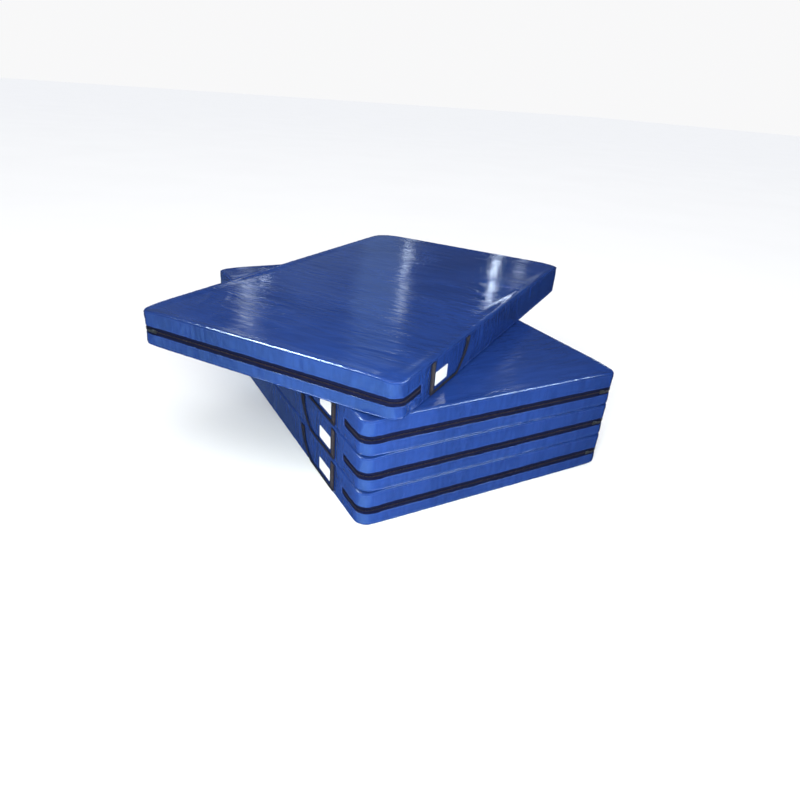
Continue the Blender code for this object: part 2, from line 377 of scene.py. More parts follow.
def coil_finish(zip_settings):
    """Polyester zip coil, slightly glossy, dusty in places."""
    finish = Finish("zip_coil")
    dust = finish.cloud(35.0, 5.0)
    tone = finish.mix(finish.span(dust, 0.4, 0.7), zip_settings.coil_colour, (0.030, 0.022, 0.034))
    return finish.done(0.15, base_color=tone, roughness=finish.span(dust, 0.3, 0.7, 0.5, 0.8))


def slider_finish():
    """Black-lacquered zinc, rubbed to bare metal here and there."""
    finish = Finish("slider_metal")
    rub = finish.cloud(260.0, 6.0, 0.65)
    bare = finish.span(rub, 0.58, 0.66)
    tone = finish.mix(bare, (0.030, 0.030, 0.034), (0.45, 0.44, 0.42))
    roughness = finish.span(rub, 0.3, 0.7, 0.28, 0.46)
    return finish.done(base_color=tone, metallic=0.35 + 0.65 * bare, roughness=roughness)


def label_finish(trim):
    """Blank white card, slightly rippled and faintly soiled in places."""
    finish = Finish("label")
    soil = finish.cloud(55.0, 5.0, 0.6)
    tone = finish.mix(finish.span(soil, 0.5, 0.9), trim.label_colour, shade(trim.label_colour, 0.90))
    roughness = finish.span(soil, 0.3, 0.8, 0.30, 0.50)
    ripple = finish.bump(finish.cloud(30.0, 2.0), 0.0002)
    return finish.done(0.3, base_color=tone, roughness=roughness, normal=ripple)


def thread_finish(name, colour):
    """Polyester sewing thread, its tone varying from stitch to stitch."""
    finish = Finish(name)
    tone = finish.mix(finish.cloud(90.0, 2.0), shade(colour, 0.6), shade(colour, 1.3))
    twist = finish.bump(finish.cloud(2600.0, 1.0), 0.0001)
    return finish.done(0.2, base_color=tone, roughness=0.6, normal=twist)


def floor_finish(stage):
    """Pale matt floor with a barely visible tone drift."""
    finish = Finish("floor")
    drift = finish.cloud(0.7, 3.0)
    tone = finish.mix(drift, shade(stage.floor_colour, 0.98), shade(stage.floor_colour, 1.02))
    return finish.done(0.0, base_color=tone, roughness=0.75)


FINISHES = {}


def finish_named(name):
    """The material of that name, made the first time it is asked for."""
    if name not in FINISHES:
        scene = bpy.context.scene
        zip_settings, trim = scene.gym_mat_zip, scene.gym_mat_trim
        worn_tape, worn_webbing = (0.008, 0.010, 0.032), (0.030, 0.027, 0.034)
        makers = {
            "vinyl": lambda: vinyl_finish(scene.gym_mat_cover),
            "foam": foam_finish,
            "zip_tape": lambda: woven_finish("zip_tape", zip_settings.tape_colour, 0.0016, worn_tape),
            "zip_coil": lambda: coil_finish(zip_settings),
            "slider_metal": slider_finish,
            "webbing": lambda: woven_finish("webbing", trim.webbing_colour, 0.0030, worn_webbing),
            "label": lambda: label_finish(trim),
            "blue_thread": lambda: thread_finish("blue_thread", (0.03, 0.06, 0.26)),
            "buff_thread": lambda: thread_finish("buff_thread", (0.10, 0.078, 0.080)),
        }
        FINISHES[name] = makers[name]()
    return FINISHES[name]


# ---------------------------------------------------------------------------
# Mesh helpers
# ---------------------------------------------------------------------------


def gradient_noise(u, v, seed):
    """Smooth noise between about -0.7 and 0.7 at each (u, v), one lattice cell to the unit."""
    angles = np.random.default_rng(seed).uniform(0.0, 2.0 * math.pi, (64, 64))
    u, v = np.asarray(u, float), np.asarray(v, float)
    u0, v0 = np.floor(u), np.floor(v)
    fu, fv = u - u0, v - v0
    fade_u = fu**3 * (fu * (fu * 6 - 15) + 10)
    fade_v = fv**3 * (fv * (fv * 6 - 15) + 10)

    def corner(du, dv):
        angle = angles[(u0 + du).astype(int) % 64, (v0 + dv).astype(int) % 64]
        return np.cos(angle) * (fu - du) + np.sin(angle) * (fv - dv)

    near = corner(0, 0) + fade_u * (corner(1, 0) - corner(0, 0))
    far = corner(0, 1) + fade_u * (corner(1, 1) - corner(0, 1))
    return near + fade_v * (far - near)


def ease(value):
    """0 below 0, 1 above 1, and a smooth step between."""
    value = np.clip(value, 0.0, 1.0)
    return value * value * (3.0 - 2.0 * value)


def new_piece(name, points, faces, cloth, finish):
    """A mesh object from arrays; cloth gives each face corner's place on the flat cloth, in metres."""
    mesh = bpy.data.meshes.new(name)
    mesh.from_pydata(np.asarray(points).tolist(), [], np.asarray(faces).tolist())
    layer = mesh.uv_layers.new(name="cloth")
    layer.data.foreach_set("uv", np.asarray(cloth, np.float32).ravel())
    mesh.shade_smooth()
    obj = bpy.data.objects.new(name, mesh)
    bpy.context.scene.collection.objects.link(obj)
    mesh.materials.append(finish_named(finish))
    return obj


def grid_faces(rows, columns, closed=False):
    """Quads of a grid of points as (faces, faces with the closing column counted on)."""
    open_index = np.arange(rows * (columns + closed)).reshape(rows, columns + closed)
    index = np.arange(rows * columns).reshape(rows, columns)
    if closed:
        index = np.hstack((index, index[:, :1]))

    def quads(i):
        return np.stack((i[:-1, :-1], i[1:, :-1], i[1:, 1:], i[:-1, 1:]), axis=-1).reshape(-1, 4)

    return quads(index), quads(open_index)


def apply_modifier(obj, kind, **settings):
    """Adds a modifier with those settings and applies it."""
    modifier = obj.modifiers.new(kind.lower(), kind)
    for name, value in settings.items():
        setattr(modifier, name, value)
    with bpy.context.temp_override(object=obj, active_object=obj, selected_objects=[obj]):
        bpy.ops.object.modifier_apply(modifier=modifier.name)


def thicken(obj, thickness, offset=-1.0):
    """Gives an open sheet its thickness."""
    apply_modifier(obj, "SOLIDIFY", thickness=thickness, offset=offset, use_even_offset=False)


def deselect_all():
    for obj in list(bpy.context.selected_objects):
        obj.select_set(False)


def select_parts(obj, kind, test):
    """In edit mode, selects just the EDGE or FACE parts of a mesh that pass a test."""
    bpy.ops.mesh.select_mode(type=kind)
    bpy.ops.mesh.select_all(action="DESELECT")
    edit = bmesh.from_edit_mesh(obj.data)
    for part in edit.edges if kind == "EDGE" else edit.faces:
        part.select_set(bool(test(part)))
    bmesh.update_edit_mesh(obj.data)


def joined(objects, name):
    """One object of several, under a new name."""
    deselect_all()
    for obj in objects:
        obj.select_set(True)
    bpy.context.view_layer.objects.active = objects[0]
    bpy.ops.object.join()
    whole = bpy.context.view_layer.objects.active
    whole.name = name
    whole.data.name = name
    return whole


def tiled(name, unit, places, finish):
    """Copies of one small piece, one at each 4x4 place, as one mesh; the small piece is used up."""
    mesh = unit.data
    points = np.ones((len(mesh.vertices), 4))
    flat = np.empty(len(mesh.vertices) * 3)
    mesh.vertices.foreach_get("co", flat)
    points[:, :3] = flat.reshape(-1, 3)
    places = np.asarray(places)
    placed = np.einsum("kij,nj->kni", places, points)[:, :, :3].reshape(-1, 3)
    starts = [number * len(points) for number in range(len(places))]
    faces = [[start + i for i in face.vertices] for start in starts for face in mesh.polygons]
    bpy.data.objects.remove(unit, do_unlink=True)
    obj_mesh = bpy.data.meshes.new(name)
    obj_mesh.from_pydata(placed.tolist(), [], faces)
    obj_mesh.shade_smooth()
    obj_mesh.materials.append(finish_named(finish))
    obj = bpy.data.objects.new(name, obj_mesh)
    bpy.context.scene.collection.objects.link(obj)
    return obj


def bead(length, width, depth, segments=6, rings=4):
    """A rounded bar along X with its middle at the origin: one stitch or one turn of the coil."""
    deselect_all()
    bpy.ops.mesh.primitive_uv_sphere_add(segments=segments, ring_count=rings, radius=0.5)
    bpy.ops.transform.rotate(value=math.pi / 2, orient_axis="Y", center_override=(0, 0, 0))
    bpy.ops.transform.resize(value=(length, width, depth), center_override=(0, 0, 0))
    bpy.ops.object.transform_apply(location=True, rotation=True, scale=True)
    obj = bpy.context.object
    # a sphere's poles are pushed out to make the ends blunt
    bpy.ops.object.mode_set(mode="EDIT")
    select_parts(obj, "FACE", lambda face: abs(face.calc_center_median().x) < length * 0.36)
    bpy.ops.transform.resize(value=(1.35, 1.0, 1.0), center_override=(0, 0, 0))
    bpy.ops.object.mode_set(mode="OBJECT")
    return obj


def frame_at(point, along, out):
    """4x4 place whose X runs along, whose Z points out, and whose origin is the point."""
    along, out = np.asarray(along, float), np.asarray(out, float)
    across = np.cross(out, along)
    place = np.eye(4)
    for column, axis in enumerate((along, across, out)):
        place[:3, column] = axis / np.linalg.norm(axis)
    place[:3, 3] = point
    return place


def mat_place(number):
    """Matrix from the bottom mat's place to that mat's place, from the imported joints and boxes."""
    joints = {j["name"]: j for j in frame["joints"]}
    left = Vector(joints[f"mat_{number}_left_loop_swing"]["pos_m"])
    right = Vector(joints[f"mat_{number}_right_loop_swing"]["pos_m"])
    across = right - left
    turn = math.atan2(across.y, across.x)
    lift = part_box(f"mat_{number}_base_panel")[0].z
    return Matrix.Translation((0.0, 0.0, lift)) @ Matrix.Rotation(turn, 4, "Z")


def own_copy(obj):
    """A copy of a piece, with its own mesh."""
    copy = obj.copy()
    copy.data = obj.data.copy()
    bpy.context.scene.collection.objects.link(copy)
    return copy


def set_out(obj, part, nodes=None, body=None, material_slot=None, declare=None):
    """Puts a copy of a piece on every mat, riding on its body and standing for its CAD nodes."""
    for number in MATS:
        copy = obj if number == MATS[-1] else own_copy(obj)
        copy.data.transform(mat_place(number))
        copy.data.update()
        copy.name = f"mat_{number}_{part}"
        copy.data.name = copy.name
        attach(copy, f"mat_{number}" + (f"_{body}" if body else ""))
        replaced = (part,) if nodes is None else nodes
        if replaced:
            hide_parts(*[f"mat_{number}_{node}" for node in replaced])
        if declare:
            declare(copy, number)


# ---------------------------------------------------------------------------
# The mat's outline
# ---------------------------------------------------------------------------


def outline(travel, inset=0.0):
    """Points and outward directions on the rounded plan outline, `travel` metres from the zip end's middle.

    Travel runs towards +X, and counts along the full-size outline whatever the inset."""
    half_x, half_y = WIDTH / 2 - CORNER, LENGTH / 2 - CORNER
    arc = CORNER * math.pi / 2
    whole = 4 * (half_x + half_y) + 4 * arc
    travel = np.mod(np.asarray(travel, float), whole)
    # stretches in order: direction of travel turns left at each corner
    corners = [(half_x, -half_y, -90), (half_x, half_y, 0), (-half_x, half_y, 90), (-half_x, -half_y, 180)]
    lengths = [half_x, arc, 2 * half_y, arc, 2 * half_x, arc, 2 * half_y, arc, half_x]
    points = np.zeros((len(travel), 2))
    normals = np.zeros((len(travel), 2))
    start = 0.0
    for number, length in enumerate(lengths):
        on = (travel >= start - 1e-9) & (travel <= start + length + 1e-9)
        share = travel[on] - start
        if number % 2:
            x, y, first = corners[number // 2]
            angle = math.radians(first) + share / CORNER
            normal = np.stack((np.cos(angle), np.sin(angle)), axis=1)
            points[on] = np.array((x, y)) + normal * CORNER
        else:
            side = (number // 2) % 4
            angle = math.radians(-90 + 90 * side)
            normal = np.array((math.cos(angle), math.sin(angle)))
            heading = np.array((-normal[1], normal[0]))
            if number == 0:
                begin = np.array((0.0, -LENGTH / 2))
            else:
                x, y, _ = corners[number // 2 - 1]
                begin = np.array((x, y)) + normal * CORNER
            points[on] = begin + share[:, None] * heading
            normal = np.tile(normal, (on.sum(), 1))
        normals[on] = normal
        start += length
    return points - normals * inset, normals


OUTLINE_LENGTH = 2 * (WIDTH + LENGTH) - 8 * CORNER + 2 * math.pi * CORNER
HALF_FRONT = WIDTH / 2 - CORNER + CORNER * math.pi / 2  # travel from the front's middle to a long side


def travel_at(along):
    """Travel to the point of the +X side that is `along` from the zip end; minus it is on the -X side."""
    return HALF_FRONT + along - CORNER


# ---------------------------------------------------------------------------
# Cover
# ---------------------------------------------------------------------------

# Long soft creases in the top: three points of an arc (across, along), height and half width
CREASES = (
    ((0.03, 0.20), (0.01, 0.62), (-0.02, 1.06), 0.0010, 0.006),
    ((0.18, 1.24), (0.17, 1.10), (0.32, 1.02), 0.0014, 0.009),
    ((-0.60, 0.40), (-0.47, 0.31), (-0.46, 0.17), 0.0016, 0.010),
    ((-0.55, 0.44), (-0.40, 0.33), (-0.41, 0.20), 0.0012, 0.008),
    ((-0.33, 0.20), (-0.31, 0.14), (-0.30, 0.08), 0.0012, 0.007),
    ((0.20, 0.16), (0.42, 0.24), (0.585, 0.19), 0.0015, 0.010),
    ((0.30, 0.30), (0.46, 0.34), (0.590, 0.27), 0.0011, 0.010),
    ((-0.10, 1.45), (0.12, 1.50), (0.30, 1.42), 0.0012, 0.012),
    ((-0.45, 1.70), (-0.20, 1.78), (0.05, 1.74), 0.0012, 0.012),
)


def crease_height(across, along, crease):
    """Height of one crease at each point, tapering to nothing at its ends."""
    first, middle, last, height, width = crease
    share = np.linspace(0.0, 1.0, 25)[:, None]
    first, middle, last = np.array(first), np.array(middle), np.array(last)
    path = (1 - share) ** 2 * first + 2 * share * (1 - share) * middle + share**2 * last
    gap = np.stack((across, along), axis=-1)[:, None, :] - path[None]
    distance = np.hypot(gap[..., 0], gap[..., 1])
    nearest = distance.argmin(axis=1)
    taper = np.sin(math.pi * share[nearest, 0]) ** 0.6
    return height * taper * np.exp(-((distance.min(axis=1) / width) ** 2))


# Wrinkles across the top: waves to the metre across and along, and their share of the wrinkle height
RIPPLES = ((2.0, 11.0, 0.55), (3.4, 21.0, 0.32), (6.0, 40.0, 0.16))


def top_relief(across, along, cover):
    """Height of the top's slack, wrinkles and creases over the flat."""
    swirl = 0.09 * gradient_noise(across * 1.1 + 4, along * 0.9, 11) + 0.05 * across
    lengthwise = along + swirl
    slack = gradient_noise(across * 1.6, lengthwise * 2.6, 3)
    patches = ease(0.55 + 1.4 * gradient_noise(across * 2.3, along * 1.7, 5))
    relief = cover.slack_height * slack
    for step, (width_scale, length_scale, share) in enumerate(RIPPLES):
        ripple = gradient_noise(across * width_scale, lengthwise * length_scale, 20 + step)
        crest = 1.0 - np.abs(ripple) / 0.5
        relief = relief + cover.wrinkle_height * share * crest * (0.35 + 0.65 * patches)
    for crease in CREASES:
        relief = relief + crease_height(across, along, crease)
    return relief


def rounded_plan(across, lengthwise, half_x, half_y, radius):
    """Moves grid points near a rectangle's corners in, so that the grid's edge follows a rounded corner."""
    over_x = np.maximum(np.abs(across) - (half_x - radius), 0.0) / radius
    over_y = np.maximum(np.abs(lengthwise) - (half_y - radius), 0.0) / radius
    corner = (over_x > 0) & (over_y > 0)
    round_x = half_x - radius + radius * over_x * np.sqrt(1 - over_y**2 / 2)
    round_y = half_y - radius + radius * over_y * np.sqrt(1 - over_x**2 / 2)
    new_x = np.where(corner, round_x, np.abs(across))
    new_y = np.where(corner, round_y, np.abs(lengthwise))
    return np.copysign(new_x, across), np.copysign(new_y, lengthwise)


PANEL_TURN = math.radians(45)  # how far round the edge the panel goes, to the welt
PANEL_EDGE_ROWS = 4
DROOP = 0.007  # how far the soft corners sink


def droop(x, y):
    """How far the top sinks near the mat's corners; the base rises half as far."""
    distance = np.hypot(WIDTH / 2 - np.abs(x), LENGTH / 2 - np.abs(y))
    return DROOP * np.exp(-((distance / 0.075) ** 2))


def panel(name, cover, step_x, step_y, wrinkled):
    """A top panel: a sheet with its edge turned down to the welt. The base panel is one turned over."""
    half_x, half_y = WIDTH / 2 - EDGE, LENGTH / 2 - EDGE
    radius = CORNER - EDGE
    count_x, count_y = round(2 * half_x / step_x), round(2 * half_y / step_y)
    columns, rows = np.linspace(-half_x, half_x, count_x + 1), np.linspace(-half_y, half_y, count_y + 1)
    grid_x, grid_y = np.meshgrid(columns, rows)
    x, y = rounded_plan(grid_x.ravel(), grid_y.ravel(), half_x, half_y, radius)
    inward = np.minimum(half_x - np.abs(x), half_y - np.abs(y))
    sink = droop(x, y) * (1.0 if wrinkled else 0.5)
    z = np.full_like(x, HEIGHT - CLEARANCE)
    if wrinkled:
        relief = top_relief(x, y - ZIP_END, cover)
        ceiling = cover.slack_height * 0.55 + cover.wrinkle_height + 0.0012
        z += np.minimum(relief - ceiling, 0.0) * ease(inward / 0.045)
    index = np.arange(len(x)).reshape(count_y + 1, count_x + 1)
    rim = np.concatenate((index[0, :-1], index[:-1, -1], index[-1, :0:-1], index[:0:-1, 0]))
    centre_x = np.clip(x[rim], -(half_x - radius), half_x - radius)
    centre_y = np.clip(y[rim], -(half_y - radius), half_y - radius)
    out = np.stack((x[rim] - centre_x, y[rim] - centre_y), axis=1)
    out /= np.linalg.norm(out, axis=1)[:, None]
    points = [np.stack((x, y, z - sink), axis=1)]
    cloth = [np.stack((x, y), axis=1)]
    run = np.concatenate(([0.0], np.cumsum(np.hypot(np.diff(x[rim]), np.diff(y[rim])))))
    pucker = 1.7 * cover.gather_height * gradient_noise(run / 0.016, np.full_like(run, 0.5), 40)
    for row in range(1, PANEL_EDGE_ROWS + 1):
        angle = PANEL_TURN * row / PANEL_EDGE_ROWS
        reach = EDGE + pucker * row / PANEL_EDGE_ROWS - CLEARANCE
        level = HEIGHT - CLEARANCE - EDGE + reach * math.cos(angle) - sink[rim]
        edge = np.stack((x[rim], y[rim]), axis=1) + out * (reach * math.sin(angle))[:, None]
        points.append(np.hstack((edge, level[:, None])))
        cloth.append(np.stack((x[rim], y[rim]), axis=1) + out * EDGE * angle)
    quads = np.stack((index[:-1, :-1], index[:-1, 1:], index[1:, 1:], index[1:, :-1]), axis=-1).reshape(-1, 4)
    rings = [rim] + [len(x) + row * len(rim) + np.arange(len(rim)) for row in range(PANEL_EDGE_ROWS)]
    bands = [
        np.stack((inner, outer, np.roll(outer, -1), np.roll(inner, -1)), axis=1)
        for inner, outer in zip(rings, rings[1:])
    ]
    faces = np.vstack([quads] + bands)
    cloth = np.vstack(cloth)[faces.ravel()]
    return new_piece(name, np.vstack(points), faces, cloth, "vinyl")


def flipped_over(obj):
    """Turns a piece upside down within the mat's height, with its faces still pointing out."""
    obj.data.transform(Matrix.Translation((0, 0, HEIGHT)) @ Matrix.Diagonal((1, 1, -1, 1)))
    obj.data.flip_normals()
    return obj


HEM = 0.0068  # turned-in hem along the zip's opening
# Folds at the mat's corners: place from the corner's middle, slope, height
CORNER_FOLDS = ((0.0, 0.30, 0.0030), (-0.024, 0.80, 0.0022), (0.026, -0.70, 0.0022))
WALL_COLUMNS = 1080
WELT_COLUMNS = 1280
WELT_SIDES = 8
WELT_LANE = 0.0015  # width of cloth to each side of the piping
WELT_STITCHES = 640


def near_slot(z):
    """Distance from the nearer lip of the zip's opening."""
    return np.minimum(np.abs(z - SLOT[0]), np.abs(z - SLOT[1]))


def wall_offset(travel, z, cover):
    """How far the side wall stands out from the plain outline at each place on it."""
    travel, z = np.broadcast_arrays(np.asarray(travel, float), np.asarray(z, float))
    signed = np.where(travel > OUTLINE_LENGTH / 2, travel - OUTLINE_LENGTH, travel)
    along = np.abs(signed) - HALF_FRONT + CORNER
    by_zip = ease((WRAP + 0.012 - along) / 0.02)
    trimmed = ease((along - 0.215) / 0.015) * ease((0.625 - along) / 0.03)
    whole = np.sin(math.pi * np.clip((z - EDGE) / (HEIGHT - 2 * EDGE), 0.0, 1.0))
    over = np.sin(math.pi * np.clip((z - SLOT[1]) / (HEIGHT - EDGE - SLOT[1]), 0.0, 1.0))
    under = np.sin(math.pi * np.clip((z - EDGE) / (SLOT[0] - EDGE), 0.0, 1.0))
    swell = cover.bulge * ((1 - by_zip) * whole + by_zip * 0.55 * (over + under))
    pull = np.exp(-(HEIGHT - z) / 0.035) + 0.8 * np.exp(-z / 0.030)
    pull = pull + by_zip * 0.8 * np.exp(-near_slot(z) / 0.02)
    lean = 1.5 * gradient_noise(signed / 0.16, z * 0 + 2.5, 54)
    fine = gradient_noise(signed / 0.017 + lean * z / 0.017, z * 7.0, 51)
    coarse = gradient_noise(signed / 0.050 + 2 * lean * z / 0.050, z * 9.0, 52)
    gather = cover.gather_height * (pull * fine + 1.8 * coarse)
    seam = along - SEAM_ALONG + 0.35 * (z - HEIGHT / 2)
    ridge = 0.0030 * np.exp(-((seam / 0.0030) ** 2)) - 0.0020 * np.exp(-(((seam - 0.007) / 0.004) ** 2))
    arc = np.abs(signed) - (HALF_FRONT - CORNER * math.pi / 4)
    drop = HEIGHT - z
    for reach, slope, height in CORNER_FOLDS:
        fold = (arc - reach - slope * drop) / 0.0034
        ridge = ridge + height * np.exp(-(fold**2)) * np.exp(-drop / 0.045)
        rise = (arc - reach + slope * z) / 0.0036
        ridge = ridge + 0.8 * height * np.exp(-(rise**2)) * np.exp(-z / 0.040)
    puckered = 1 + 0.35 * gradient_noise(z / 0.012, signed * 0 + 0.5, 55)
    hem = 0.0006 * by_zip * (near_slot(z) < HEM)
    free = 0.6 * swell + gather + hem
    return free + trimmed * (0.25 * gather - 0.0008 - free) + ridge * puckered


def wall_level(travel, z):
    """Height of the wall's surface at each place: the corners droop at the top and lift at the base."""
    points, _ = outline(travel)
    share = z / HEIGHT
    return z - droop(points[:, 0], points[:, 1]) * np.where(share > 0.5, share * 2 - 1, share - 0.5)


def on_wall(travel, z, cover, proud=0.0):
    """Points on the side wall, and the way out of it."""
    travel = np.asarray(travel, float)
    z = np.broadcast_to(np.asarray(z, float), travel.shape)
    points, out = outline(travel)
    points = points + out * (wall_offset(travel, z, cover) + proud)[:, None]
    return np.column_stack((points, wall_level(travel, z))), np.column_stack((out, np.zeros(len(out))))


def wall_heights():
    """Rows of the side band from top to bottom, with close rows along the zip's opening."""
    upper = np.linspace(HEIGHT - EDGE, SLOT[1] + HEM + 0.001, 7)
    lower = np.linspace(SLOT[0] - HEM - 0.001, EDGE, 6)
    over = [SLOT[1] + HEM - 0.0004, SLOT[1] + 0.0007, SLOT[1]]
    under = [SLOT[0], SLOT[0] - 0.0007, SLOT[0] - HEM + 0.0004]
    return np.concatenate((upper, over, under, lower))


def wall_columns():
    """Travel of each column of the side band, with one at each end of the zip."""
    regular = np.linspace(0.0, OUTLINE_LENGTH, WALL_COLUMNS + 1)[:-1]
    marks = np.array([travel_at(WRAP), OUTLINE_LENGTH - travel_at(WRAP)])
    far = np.abs(regular[:, None] - marks[None]).min(axis=1) > 0.0025
    return np.sort(np.concatenate((regular[far], marks)))


def side_band(cover):
    """The strip round the mat between the welts, open where the zip goes."""
    turns = (math.radians(45), math.radians(57), math.radians(70), math.radians(82))
    levels = [(HEIGHT - EDGE + EDGE * math.cos(a), EDGE * math.sin(a) - EDGE) for a in turns]
    levels += [(z, 0.0) for z in wall_heights()]
    levels += [(EDGE - EDGE * math.cos(a), EDGE * math.sin(a) - EDGE) for a in reversed(turns)]
    travel = wall_columns()
    plan, out = outline(travel)
    rows, cloth = [], []
    for z, inset in levels:
        offset = inset + wall_offset(travel, z, cover) * (1.0 + inset / EDGE * 1.5)
        rows.append(np.column_stack((plan + out * offset[:, None], wall_level(travel, z))))
        cloth.append(np.column_stack((np.full(len(travel) + 1, z), np.append(travel, OUTLINE_LENGTH))))
    faces, open_faces = grid_faces(len(levels), len(travel), closed=True)
    cloth = np.vstack(cloth)[open_faces.ravel()].reshape(-1, 4, 2)
    row_of = faces[:, 0] // len(travel)
    level_z = np.array([z for z, _ in levels])
    in_slot = (level_z[row_of] <= SLOT[1] + 1e-6) & (level_z[row_of + 1] >= SLOT[0] - 1e-6)
    travel_of = travel[faces[:, 0] % len(travel)]
    next_of = travel[faces[:, 3] % len(travel)]
    limit = travel_at(WRAP) + 1e-6
    in_wrap = ((travel_of < limit) & (next_of <= limit)) | (travel_of >= OUTLINE_LENGTH - limit)
    kept = ~(in_slot & in_wrap)
    return new_piece("side_band", np.vstack(rows), faces[kept], cloth[kept].reshape(-1, 2), "vinyl")


def welt(name, cover, level, sink):
    """The piping along one edge, round the whole mat: a strip of cloth drawn in at each stitch."""
    travel = np.linspace(0.0, OUTLINE_LENGTH, WELT_COLUMNS + 1)[:-1]
    inset = EDGE * (1 - math.sin(PANEL_TURN))
    points, out = outline(travel)
    beat = 0.5 + 0.5 * np.cos(2 * math.pi * travel / (OUTLINE_LENGTH / WELT_STITCHES))
    radius = cover.welt_radius * (0.84 + 0.16 * beat + 0.45 * gradient_noise(travel / 0.03, travel * 0, 61))
    wander = 0.0007 * gradient_noise(travel / 0.05, travel * 0, 62)
    rows = []
    for side in range(WELT_SIDES):
        angle = 2 * math.pi * side / WELT_SIDES
        offset = 0.0008 - inset + wander + radius * math.cos(angle)
        z = level - sink * droop(points[:, 0], points[:, 1]) + radius * math.sin(angle)
        rows.append(np.column_stack((points + out * offset[:, None], z)))
    index = np.arange(WELT_SIDES * len(travel)).reshape(WELT_SIDES, len(travel))
    next_side, next_travel = np.roll(index, -1, axis=0), np.roll(index, -1, axis=1)
    faces = np.stack((index, next_travel, np.roll(next_side, -1, axis=1), next_side), axis=-1).reshape(-1, 4)
    around = np.repeat(np.arange(WELT_SIDES), len(travel)) * WELT_LANE
    start = np.tile(travel, WELT_SIDES)
    step = OUTLINE_LENGTH / len(travel)
    corners = ((0, 0), (0, step), (WELT_LANE, step), (WELT_LANE, 0))
    cloth = np.stack([np.column_stack((around + da, start + dt)) for da, dt in corners], axis=1)
    return new_piece(name, np.vstack(rows), faces, cloth.reshape(-1, 2), "vinyl")


def stretched_on_foam(width, length, held="stretched"):
    """A step for set_out to call on each copy of a flat piece of cloth that lies on its mat's foam core; it
    does nothing.
    """

    def declare(copy, number):
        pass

    return declare


SEAM_STITCH = (0.0046, 0.0007)  # length and thickness of a stitch, here and below
HEM_STITCH = (0.0032, 0.0007)
TACK_STITCH = (0.0034, 0.0010)


def stitches(name, travel, z, cover, size, steep=0.0):
    """A row of blue stitches on the wall; steep turns each stitch from the level."""
    length, thickness = size
    points, out = on_wall(travel, z, cover, thickness * 0.12)
    places = []
    for point, away in zip(points, out):
        along = np.array((-away[1], away[0], 0.0))
        heading = along * math.cos(steep) + np.array((0.0, 0.0, math.sin(steep)))
        places.append(frame_at(point, heading, away))
    return tiled(name, bead(length, thickness, thickness), places, "blue_thread")


class GYMMAT_OT_foam(bpy.types.Operator):
    """Make each mat's foam core"""

    bl_idname = "gym_mat.foam"
    bl_label = "Foam Cores"

    def execute(self, context):
        low, high = cad_box("foam_core")
        slack = 0.005
        headroom = 0.009  # more over and under, for the cover's sunken corners
        deselect_all()
        centre = (low + high) / 2
        bpy.ops.mesh.primitive_cube_add(size=1.0, location=centre)
        core = context.object
        core.scale = (high - low) - Vector((slack, slack, headroom)) * 2
        bpy.ops.object.transform_apply(location=True, rotation=False, scale=True)
        bpy.ops.object.mode_set(mode="EDIT")
        select_parts(core, "EDGE", lambda edge: abs((edge.verts[0].co - edge.verts[1].co).z) > 0.05)
        bpy.ops.mesh.bevel(offset=CORNER - slack, segments=8)
        select_parts(core, "FACE", lambda face: abs(face.normal.z) > 0.9)
        bpy.ops.mesh.region_to_loop()
        bpy.ops.mesh.bevel(offset=0.010, segments=3)
        bpy.ops.object.mode_set(mode="OBJECT")
        core.data.materials.append(finish_named("foam"))
        core.data.shade_smooth()
        core.data.set_sharp_from_angle(angle=math.radians(40))

        def declare_full(copy, number):
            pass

        set_out(core, "foam_core", material_slot="foam", declare=declare_full)
        return {"FINISHED"}


class GYMMAT_OT_cover(bpy.types.Operator):
    """Make each mat's sewn vinyl cover"""

    bl_idname = "gym_mat.cover"
    bl_label = "Vinyl Covers"

    def execute(self, context):
        cover = context.scene.gym_mat_cover
        reach = 2 * EDGE * (PANEL_TURN - 1)
        whole = stretched_on_foam(WIDTH + reach, LENGTH + reach)
        top = panel("top_panel", cover, step_x=0.012, step_y=0.0080, wrinkled=True)
        thicken(top, CLOTH)
        set_out(top, "top_panel", material_slot="vinyl", declare=whole)
        base = flipped_over(panel("base_panel", cover, step_x=0.030, step_y=0.030, wrinkled=False))
        thicken(base, CLOTH)
        set_out(base, "base_panel", material_slot="vinyl", declare=whole)
        band = side_band(cover)
        thicken(band, CLOTH)
        band_width = HEIGHT - 2 * EDGE + 2 * EDGE * (math.pi / 2 - PANEL_TURN)
        strip = stretched_on_foam(band_width, OUTLINE_LENGTH)
        set_out(band, "side_band", material_slot="vinyl", declare=strip)
        inset = EDGE * (1 - math.cos(PANEL_TURN))
        folded = stretched_on_foam(2 * math.pi * (cover.welt_radius - 0.0002), OUTLINE_LENGTH, "folded")
        for part, level, sink in (
            ("top_welt", HEIGHT - inset - 0.0006, 1.0),
            ("base_welt", inset + 0.0006, -0.5),
        ):
            piping = welt(part, cover, level, sink)
            thicken(piping, thickness=0.0007)
            set_out(piping, part, nodes=(), material_slot="vinyl", declare=folded)
        self.add_stitching(cover)
        return {"FINISHED"}

    def add_stitching(self, cover):
        pitch = 0.0062
        travel = np.arange(0.0, OUTLINE_LENGTH, pitch)
        rows = [
            stitches("seam_stitches", travel, z, cover, SEAM_STITCH)
            for z in (HEIGHT - EDGE - 0.001, EDGE + 0.001)
        ]
        set_out(joined(rows, "seam_stitches"), "seam_stitches", nodes=(), material_slot="vinyl")


# ---------------------------------------------------------------------------
# Zip
# ---------------------------------------------------------------------------


TAPE_ROWS = 5
TAPE_END = 0.006  # how far the tapes go on past each end of the zip


def zip_travel(step, end=WRAP):
    """Evenly spaced travel along the zip, from its end on the -X side to its end on the +X side."""
    reach = travel_at(end)
    count = round(2 * reach / step)
    return np.linspace(-reach, reach, count + 1)


